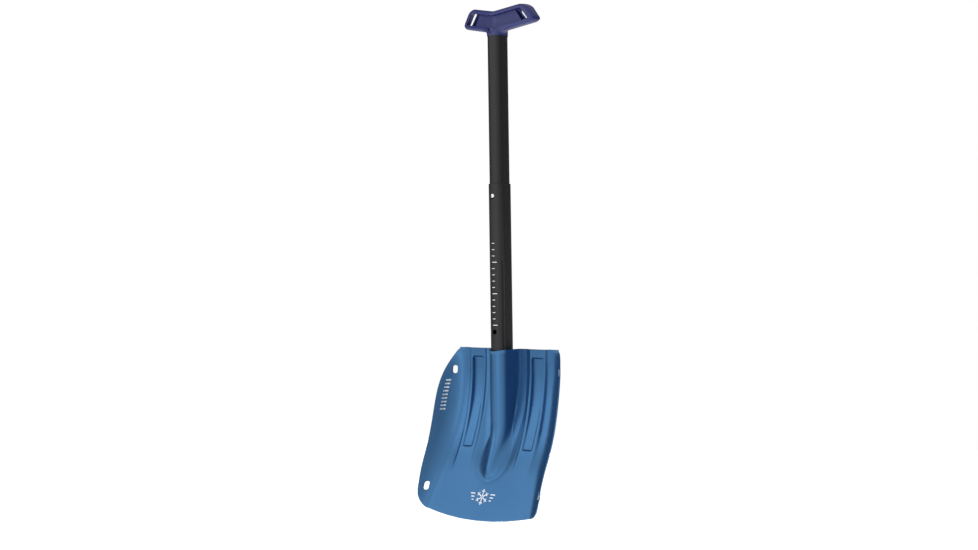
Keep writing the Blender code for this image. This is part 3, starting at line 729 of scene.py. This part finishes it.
def snowflake(x, z, radius, width):
    """Six arms with two short barbs each, a plain winter-use symbol."""
    out = []
    for k in range(6):
        turn = math.radians(30 + 60 * k)
        c, s = math.cos(turn), math.sin(turn)
        out += bar(x + c * radius * 0.55, z + s * radius * 0.55, radius * 0.9, width, turn)
        for side in (-1, 1):
            lean = turn + side * math.radians(55)
            start = 0.62 * radius
            reach = radius * 0.30
            cx = x + c * start + math.cos(lean) * reach / 2
            cz = z + s * start + math.sin(lean) * reach / 2
            out += bar(cx, cz, reach, width * 0.8, lean)
    return out


def build_snow_symbol():
    """Snow crystal with three bars of falling length on each side of it."""
    marks = snowflake(0.0, SYMBOL_Z, SYMBOL_RADIUS, SYMBOL_LINE)
    for side in (-1, 1):
        for step, length in enumerate(SIDE_BARS):
            height = SYMBOL_Z + SIDE_BAR_PITCH * (1 - step)
            marks += bar(side * (SIDE_BAR_X + length / 2), height, length, SIDE_BAR_HEIGHT)
    symbol = printed_mark("blade_snow_symbol", marks, blade_surface, BLADE_LIFT, ETCHED)
    place(symbol, "scoop", "rivet_metal")


def build_wing_stripes():
    """Row of plain stripes up the left wing's edge."""
    marks = []
    for step in range(STRIPES):
        height = STRIPE_FOOT + STRIPE_PITCH * step
        marks += bar(-float(side_x(height)) + STRIPE_INSET, height, STRIPE_W, STRIPE_H)
    stripes = printed_mark("wing_grip_stripes", marks, blade_surface, BLADE_LIFT, ETCHED)
    place(stripes, "scoop", "rivet_metal")


# ----------------------------------------------------------------------- tubes
LOWER_SIZE, UPPER_SIZE, TUBE_WALL = (0.0280, 0.0400), (0.0248, 0.0368), 0.0012
LOWER_END, UPPER_END = 0.158, 0.448
RAISED, TRAVEL, SOCKET_BUTTON = 0.5066, 0.2155, 0.205
BUTTON_R, HOLE_R = 0.0034, 0.0039
FLUTE_TOP, FLUTE_ANGLE, FLUTE_HALF, FLUTE_FADE = 0.407, math.radians(24), 0.0024, 0.012
FLUTE_DEPTH, FLUTE_INSIDE = 0.0009, 0.0003   # the inside bulge stays clear of the sliding tube
TUBE_SOFT = 0.00035                          # the ends' chamfers
FLANK_STEPS = 10
SCALE_FOOT, SCALE_MARKS, SCALE_PITCH = 0.302, 14, 0.010
TICK_LEFT, TICK_LONG, TICK_SHORT, TICK_HEIGHT = -0.0030, 0.0085, 0.0050, 0.0011
TUBE_CUT, RIVET_CUT = 0.007, 0.004


def oval_ring(size, inset, flute=0.0, steps=40):
    """Points round a tube: flat flanks on +-X, round ends on +-Y, a flute at each front shoulder."""
    radius = size[0] / 2 - inset
    straight = size[1] / 2 - size[0] / 2
    points = []
    for end in (1, -1):
        for k in range(2 * steps):
            angle = math.pi * k / (2 * steps)
            r = radius
            if end < 0:
                for shoulder in (FLUTE_ANGLE, math.pi - FLUTE_ANGLE):
                    off = abs(angle - shoulder) * radius / FLUTE_HALF
                    r -= flute * math.sqrt(max(0.0, 1 - off * off))
            points.append((end * r * math.cos(angle), end * (r * math.sin(angle) + straight)))
        for k in range(FLANK_STEPS):
            points.append((-end * radius, end * straight * (1 - 2 * k / FLANK_STEPS)))
    return np.array(points)


def tube_wall(name, size, foot, top, mat, fluted):
    """Drawn tube with softened ends, its outer skin up and its inner skin down."""
    soft = TUBE_SOFT
    flute_foot = FLUTE_TOP - FLUTE_FADE
    flute_rows = [foot + 0.001] + list(np.linspace(flute_foot, FLUTE_TOP, 9)) if fluted else []
    heights = [foot + soft, foot + soft * 1.3] + flute_rows + [top - soft * 1.3, top - soft]

    def flute(z):
        t = max(0.0, (z - flute_foot) / FLUTE_FADE)
        return math.sqrt(max(0.0, 1 - t * t)) if fluted else 0.0

    rings = [(foot, soft)] + [(z, 0.0) for z in heights] + [(top, soft)]
    rings += [(top, TUBE_WALL - soft)] + [(z, TUBE_WALL) for z in reversed(heights)]
    rings += [(foot, TUBE_WALL - soft)]
    verts = []
    for z, inset in rings:
        depth = FLUTE_DEPTH if inset < TUBE_WALL / 2 else FLUTE_INSIDE
        ring = oval_ring(size, inset, flute(z) * depth)
        verts.append(np.column_stack([ring, np.full(len(ring), z + FOOT)]))
    verts = np.concatenate(verts)
    faces = grid_faces(len(rings) + 1, len(ring), wrap=True)   # the last row is the first again
    faces = [tuple(i % len(verts) for i in face) for face in faces]
    return face_outwards(add_mesh(name, verts, faces, mat))


def round_hole(y, z, radius, depth=TUBE_CUT):
    """Cutter's shape for a round hole on the shovel's middle line."""
    return ((0, y, z + FOOT), oval(2 * radius, 2 * radius), depth)


def build_tubes():
    lower = tube_wall("lower_shaft_tube", LOWER_SIZE, LOWER_END, STEP, BLACK, fluted=True)
    front, back = -LOWER_SIZE[1] / 2, LOWER_SIZE[1] / 2
    subtract(lower, hole_cutter("lower_holes", [round_hole(front, RAISED, HOLE_R),
                                                round_hole(front, RAISED - TRAVEL, HOLE_R),
                                                round_hole(back, SOCKET_BUTTON, HOLE_R)]))
    place(lower, "lower_shaft", "shaft_metal", "lower_tube")
    upper = tube_wall("upper_shaft_tube", UPPER_SIZE, UPPER_END, NECK, BLACK, fluted=False)
    front, back = -UPPER_SIZE[1] / 2, UPPER_SIZE[1] / 2
    rivet_hole = round_hole(back, GRIP_RIVET, RIVET_R + 0.0003, RIVET_CUT)
    subtract(upper, hole_cutter("upper_holes", [round_hole(front, RAISED, HOLE_R), rivet_hole]))
    place(upper, "upper_shaft", "shaft_metal", "upper_tube")


def tube_front(x, z):
    """Front face of the lower tube at x, the same at every height."""
    radius = LOWER_SIZE[0] / 2
    return -(LOWER_SIZE[1] / 2 - radius) - math.sqrt(max(radius ** 2 - x * x, 0))


def build_depth_scale():
    """Plain ticks up the lower tube, one a centimetre and a longer one every fifth."""
    marks = []
    for step in range(SCALE_MARKS):
        length = TICK_LONG if step % 5 == 0 else TICK_SHORT
        marks += bar(TICK_LEFT + length / 2, SCALE_FOOT + SCALE_PITCH * step, length, TICK_HEIGHT)
    scale = printed_mark("shaft_depth_ticks", marks, tube_front, TUBE_LIFT, ETCHED)
    place(scale, "lower_shaft", "rivet_metal")


# --------------------------------------------------------------- snap buttons
def build_snap_button(name, body, node, facing):
    """Domed steel pin on a flange, from its CAD node's box."""
    low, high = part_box(node)
    middle = (low + high) / 2
    length = high.y - low.y
    base = (middle.x, high.y if facing < 0 else low.y, middle.z)
    flange, flange_t, rise = 0.0048, 0.0011, 0.0016
    profile = [(0, 0), (flange - 0.0002, 0), (flange, 0.0002), (flange, flange_t - 0.0002),
               (flange - 0.0002, flange_t), (BUTTON_R + 0.0003, flange_t), (BUTTON_R, flange_t + 0.0003)]
    profile += dome(BUTTON_R, rise, length - rise, steps=9)
    pin = turned(name, profile, base, (0, facing, 0), STEEL)
    place(pin, body, "button_steel", node)


# ------------------------------------------------------------- plate and rivets
PLATE_TOP, PLATE_FOOT, PLATE_T = 0.2585, 0.1540, 0.0015
PLATE_HALF, PLATE_GAP, PLATE_CORNER = 0.0345, 0.0004, 0.006
HAT_Y, HAT_HALF, FLANGE_X = 0.0206, 0.0156, 0.0207   # the hat's wall runs between the last two
RIVET_HEAD, RIVET_RISE, RIVET_STEPS = 0.0042, 0.0013, 28
GRIP_RIVET_HEAD, GRIP_RIVET_RISE, GRIP_RIVET_LENGTH = 0.0040, 0.0011, 0.0150
PIT_R, PIT_DEPTH = 0.0013, 0.0004                    # where the mandrel broke off


def panel_angle(z):
    """Lean of the flat panel, from a short step up and down."""
    step = 0.0005
    return np.arctan2(panel_y(z + step) - panel_y(z - step), 2 * step)


def plate_y(x, z):
    """Front face of the back plate: flat over the tube, flanges on the sheet."""
    flange = np.minimum(panel_y(z) + SHEET / np.cos(panel_angle(z)) + PLATE_GAP, HAT_Y)
    return HAT_Y + (flange - HAT_Y) * smooth(HAT_HALF, FLANGE_X, np.abs(x))


def build_back_plate():
    """Hat-section plate with round corners that closes the socket behind the tube."""
    halves = np.concatenate([np.linspace(0, 0.0150, 8), np.linspace(HAT_HALF, FLANGE_X, 9),
                             np.linspace(0.0220, PLATE_HALF, 14)])
    x = np.concatenate([-halves[:0:-1], halves])
    rows, verts = 72, []
    for j in range(rows):
        share = j / (rows - 1)
        inset = PLATE_CORNER * (np.clip(1 - (PLATE_HALF - np.abs(x)) / PLATE_CORNER, 0, 1))
        drop = PLATE_CORNER - np.sqrt(PLATE_CORNER ** 2 - inset ** 2)
        z = (PLATE_TOP - drop) * (1 - share) + (PLATE_FOOT + drop) * share
        verts.append(np.stack([x, plate_y(x, z), z + FOOT], axis=1))
    plate = add_mesh("socket_back_cover", np.concatenate(verts), grid_faces(rows, len(x)), BLUE)
    if plate.data.polygons[0].normal.y < 0:
        plate.data.flip_normals()
    skin = plate.modifiers.new("thickness", "SOLIDIFY")
    skin.thickness, skin.offset = PLATE_T, 1
    settle(plate)
    subtract(plate, hole_cutter("plate_holes", [round_hole(HAT_Y, SOCKET_BUTTON, HOLE_R)]))
    soften_edges(plate, PLATE_EDGE_ROUND)
    place(plate, "scoop", "blade_metal", "socket_back_plate")


def build_rivets():
    """Blind rivets: set flush in the front sheet, domed behind the plate with a mandrel pit."""
    stack = SHEET + PLATE_GAP + PLATE_T
    for index, z in enumerate(RIVET_HEIGHTS):
        angle = panel_angle(z)
        axis = (0, math.cos(angle), -math.sin(angle))
        for side, tag in ((-1, "left"), (1, "right")):
            profile = [(0, 0.0001), (RIVET_R - 0.0003, 0.0001), (RIVET_R, 0.0004),
                       (RIVET_R, stack + 0.0003)]
            profile += rivet_head(RIVET_HEAD, RIVET_RISE, stack + 0.0003)
            head = turned("plate_rivet_head_%s_%d" % (tag, index + 1), profile,
                          (side * RIVET_X, float(panel_y(z)), z + FOOT), axis, BARE, steps=RIVET_STEPS)
            place(head, "scoop", "rivet_metal", "plate_rivet_%s_%d" % (tag, index + 1))


def rivet_head(radius, rise, height):
    """Low dome with a round pit where the mandrel broke off."""
    profile = [(radius - 0.0002, height), (radius, height + 0.0003)]
    profile += [p for p in dome(radius, rise, height + 0.0003)[1:] if p[0] > PIT_R + 0.0001]
    top = profile[-1][1]
    return profile + [(PIT_R, top + 0.00005), (PIT_R - 0.0002, top - 0.0003), (0, top - PIT_DEPTH)]


# ------------------------------------------------------------------------ grip
GRIP_DEPTH, GRIP_FRONT = 0.0200, -0.0157
SWEEP, RISE_TOP, RISE_FOOT = (math.tan(math.radians(a)) for a in (12.5, 11.3, 11.8))
GRIP_TOP, GRIP_FOOT, GRIP_RIVET = 0.8003, 0.7655, 0.7515
GRIP_TIP = 0.787                # height of the grip's widest point
RIM_WIDTH, FIELD_ROUND = 0.0070, 0.0028
WEB_FRONT, WEB_BACK = -0.0018, 0.0020   # faces of the web, from the grip's mid depth
LIP = 0.0015                    # thickness of the web round each window
PAD_END = ((0.0355, 0.799), (0.0425, 0.787))
WINDOW_IN = ((0.0424, 0.799), (0.0514, 0.787))
WINDOW_OUT = ((0.0492, 0.799), (0.0582, 0.787))
WALL_LEAN = 0.44                # the wall inside each window leans towards the grip's middle
END_LEAN = 0.30                 # the end face runs outwards towards the back
SLEEVE = 0.0030                 # how far the moulding reaches down over the tube
TIP_UPPER = ((0.0566, 0.8066), (0.0692, GRIP_TIP))
TIP_LOWER = ((0.0706, GRIP_TIP + 0.002), (0.0676, 0.7750))
TIP_UPPER_ROUND, TIP_LOWER_ROUND, TIP_ROUND = 0.0105, 0.0060, 0.0035
CREASE_ROUND, CREASE_SHIFT = 0.0022, 0.0007   # softens the crease between the two wings
BAR_ROUND, WEB_ROUND, WALL_ROUND, CUT_ROUND = 0.0065, 0.0020, 0.0012, 0.0010
PAD_DROP, WALL_DROP, POCKET_SKIN = 0.0026, 0.0020, 0.0020
BACK_RIM, BACK_ROUND = 0.0050, 0.0085
NECK_TOP, NECK_ROUND, NECK_BLEND, COLLAR = 0.7760, 0.0030, 0.0070, 0.0004
HOLLOW_TOP, HOLLOW_TIP, HOLLOW_BACK = 0.7725, 0.7625, -0.0100
HOLLOW_SPREAD, HOLLOW_SCALE = 0.80, 0.78      # half width per height, and about that lean's cosine
FINE_CELL, COARSE_CELL = 0.0007, 0.0012
SPIGOT_FOOT, SPIGOT_TOP, SPIGOT_GAP, SPIGOT_SOFT = NECK - 0.042, NECK + 0.010, 0.0007, 0.0006


def round_max(a, b, radius):
    """Intersection of two distance fields with a rounded edge."""
    both = np.hypot(np.clip(a + radius, 0, None), np.clip(b + radius, 0, None))
    return both + np.minimum(np.maximum(a + radius, b + radius), 0) - radius


def beyond(x, z, line):
    """Distance past a line through two (x, height) points, positive towards larger x."""
    (x0, z0), (x1, z1) = line
    length = math.hypot(x1 - x0, z1 - z0)
    return ((x - x0) * (z0 - z1) + (z - z0) * (x1 - x0)) / length


def grip_outline(x, z, depth):
    """Distance to the grip's front view: a chevron bar with rounded ends."""
    top = (z - GRIP_TOP - RISE_TOP * x) * math.cos(math.atan(RISE_TOP))
    foot = (GRIP_FOOT + RISE_FOOT * x - z) * math.cos(math.atan(RISE_FOOT))
    out = x - END_LEAN * depth
    upper = round_max(top, beyond(out, z, TIP_UPPER), TIP_UPPER_ROUND)
    lower = round_max(foot, beyond(out, z, TIP_LOWER), TIP_LOWER_ROUND)
    return round_max(upper, lower, TIP_ROUND)


def grip_cuts(x, height, depth, outline):
    """What is taken out of the bar: pad recess, blind pocket, window, and the tip's back."""
    rim = outline + RIM_WIDTH
    leaned = x + WALL_LEAN * (depth - WEB_FRONT)
    field = round_max(rim, beyond(x, height, WINDOW_OUT), FIELD_ROUND)
    front = round_max(field, depth - WEB_FRONT, WEB_ROUND)
    window = round_max(field, -beyond(x, height, WINDOW_IN), WALL_ROUND)
    back = round_max(rim, beyond(x, height, PAD_END) + PAD_DROP, FIELD_ROUND)
    back = round_max(back, WEB_BACK - depth, WEB_ROUND)
    pocket = round_max(rim, beyond(leaned, height, WINDOW_IN) + WALL_DROP, FIELD_ROUND)
    pocket = round_max(pocket, -beyond(x, height, PAD_END), WALL_ROUND)
    pocket = np.maximum(pocket, depth - GRIP_DEPTH / 2 + POCKET_SKIN)
    tip_back = round_max(outline + BACK_RIM, -beyond(leaned, height, WINDOW_IN), BACK_ROUND)
    tip_back = round_max(tip_back, WEB_FRONT + LIP - depth, WALL_ROUND)
    return front, back, pocket, window, tip_back


def grip_field(x, y, height):
    """Signed distance to the grip's moulding, negative inside."""
    x = np.sqrt(x * x + CREASE_ROUND ** 2) - CREASE_SHIFT
    depth = y - (GRIP_FRONT + GRIP_DEPTH / 2 + SWEEP * x)
    outline = grip_outline(x, height, depth)
    crossbar = round_max(outline, np.abs(depth) - GRIP_DEPTH / 2, BAR_ROUND)
    flat = (UPPER_SIZE[1] - UPPER_SIZE[0]) / 2
    neck = np.hypot(x, np.clip(np.abs(y) - flat, 0, None)) - UPPER_SIZE[0] / 2 - COLLAR
    neck = round_max(neck, height - NECK_TOP, NECK_ROUND)
    neck = round_max(neck, NECK - SLEEVE - height, COLLAR)
    solid = smooth_min(crossbar, neck, NECK_BLEND)
    hollow = (np.abs(x) - (height - HOLLOW_TIP) * HOLLOW_SPREAD) * HOLLOW_SCALE
    hollow = np.maximum(height - HOLLOW_TOP, hollow)
    hollow = round_max(hollow, y - HOLLOW_BACK, WALL_ROUND)
    for cut in (*grip_cuts(x, height, depth, outline), hollow):
        solid = round_max(solid, -cut, CUT_ROUND)
    return solid


CORNERS = [(i, j, k) for i in (0, 1) for j in (0, 1) for k in (0, 1)]
CELL_EDGES = [(a, b) for a in range(8) for b in range(a + 1, 8)
              if sum(p != q for p, q in zip(CORNERS[a], CORNERS[b])) == 1]


def surface_of(field, low, high, step):
    """Quads on a field's zero surface: one point a cell, then moved onto the surface."""
    axes = [np.arange(a, b, step) for a, b in zip(low, high)]
    values = field(*np.meshgrid(*axes, indexing="ij"))
    inside = values < 0
    shape = tuple(n - 1 for n in values.shape)
    pick = [inside[i:i + shape[0], j:j + shape[1], k:k + shape[2]] for i, j, k in CORNERS]
    count = sum(p.astype(np.int8) for p in pick)
    cells = np.argwhere((count > 0) & (count < 8))
    index = np.full(shape, -1)
    index[tuple(cells.T)] = np.arange(len(cells))
    corner_values = [values[tuple((cells + c).T)] for c in CORNERS]
    total = np.zeros((len(cells), 3))
    crossed = np.zeros(len(cells))
    for a, b in CELL_EDGES:
        va, vb = corner_values[a], corner_values[b]
        hit = (va < 0) != (vb < 0)
        t = np.where(hit, va / np.where(hit, va - vb, 1), 0)[:, None]
        point = np.array(CORNERS[a]) + t * (np.array(CORNERS[b]) - np.array(CORNERS[a]))
        total += point * hit[:, None]
        crossed += hit
    verts = np.array([a[0] for a in axes]) + (cells + total / crossed[:, None]) * step
    faces = []
    for axis in range(3):
        u, v = (axis + 1) % 3, (axis + 2) % 3
        near = np.moveaxis(inside, axis, 0)[:-1]
        far = np.moveaxis(inside, axis, 0)[1:]
        for edge, flip in ((near & ~far, False), (far & ~near, True)):
            spots = np.argwhere(np.moveaxis(edge, 0, axis))
            spots = spots[(spots[:, u] > 0) & (spots[:, v] > 0)
                          & (spots[:, u] < shape[u]) & (spots[:, v] < shape[v])]
            ring = []
            for du, dv in ((1, 1), (0, 1), (0, 0), (1, 0)):
                cell = spots.copy()
                cell[:, u] -= du
                cell[:, v] -= dv
                ring.append(index[tuple(cell.T)])
            quads = np.stack(ring[::-1] if flip else ring, axis=1)
            faces.extend(map(tuple, quads))
    for _ in range(2):
        verts = onto_surface(field, verts, step)
    return verts, faces


def onto_surface(field, verts, step):
    """One Newton step towards the field's zero, limited to half a cell."""
    nudge = step * 0.1
    value = field(*verts.T)
    slope = np.stack([(field(*(verts + nudge * e).T) - field(*(verts - nudge * e).T)) / (2 * nudge)
                      for e in np.eye(3)], axis=1)
    size = np.maximum((slope ** 2).sum(axis=1), 0.05)
    move = -(value / size)[:, None] * slope
    length = np.maximum(np.linalg.norm(move, axis=1), 1e-9)[:, None]
    return verts + move * np.minimum(1, 0.5 * step / length)


def spigot():
    """Closed plug inside the upper tube, as verts and faces."""
    size = [side - 2 * TUBE_WALL - SPIGOT_GAP for side in UPPER_SIZE]
    rings = []
    for z, inset in ((SPIGOT_FOOT, SPIGOT_SOFT), (SPIGOT_FOOT + SPIGOT_SOFT, 0.0), (SPIGOT_TOP, 0.0)):
        ring = oval_ring(size, inset, steps=24)
        rings.append(np.column_stack([ring, np.full(len(ring), z)]))
    count = len(rings[0])
    faces = grid_faces(3, count, wrap=True)
    faces.append(tuple(range(count)))
    faces.append(tuple(range(3 * count - 1, 2 * count - 1, -1)))
    return np.concatenate(rings), faces


def build_grip():
    """The T grip's moulding with its spigot in the upper tube."""
    cell = FINE_CELL
    low = (-0.0790, -0.0230, NECK - 0.0020)
    high = (0.0790, 0.0320, 0.8190)
    verts, faces = surface_of(grip_field, low, high, cell)
    more, more_faces = spigot()
    faces += [tuple(i + len(verts) for i in face) for face in more_faces]
    verts = np.concatenate([verts, more])
    verts[:, 2] += FOOT
    grip = face_outwards(add_mesh("grip_moulding", verts, faces, NAVY, smooth=75))
    place(grip, "upper_shaft", "grip_plastic", "handle_grip")


def build_grip_rivet():
    profile = [(0, -GRIP_RIVET_LENGTH), (RIVET_R, -GRIP_RIVET_LENGTH), (RIVET_R, 0.0)]
    profile += rivet_head(GRIP_RIVET_HEAD, GRIP_RIVET_RISE, 0.0)
    seat = (0, UPPER_SIZE[1] / 2 + 0.0003, GRIP_RIVET + FOOT)
    rivet = turned("grip_rivet_head", profile, seat, (0, 1, 0), BARE, steps=RIVET_STEPS)
    place(rivet, "upper_shaft", "rivet_metal", "grip_rivet")


def finish_inner_pieces():
    """The springs and plugs keep their CAD shape and get their own finish."""
    finishes = {"upper_button_spring": SPRING, "lower_button_spring": SPRING,
                "upper_tube_plug": INSERT, "lower_tube_plug": INSERT}
    for node, mat in finishes.items():
        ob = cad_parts[node]
        ob.data.materials.clear()
        ob.data.materials.append(mat)


# -------------------------------------------------------------------- assembly
add_camera()
add_floor()
add_room()
add_lights()
build_blade()
build_snow_symbol()
build_wing_stripes()
build_back_plate()
build_rivets()
build_tubes()
build_depth_scale()
build_snap_button("upper_snap_pin", "upper_button", "upper_snap_button", -1)
build_snap_button("lower_snap_pin", "lower_button", "lower_snap_button", 1)
build_grip()
build_grip_rivet()
finish_inner_pieces()
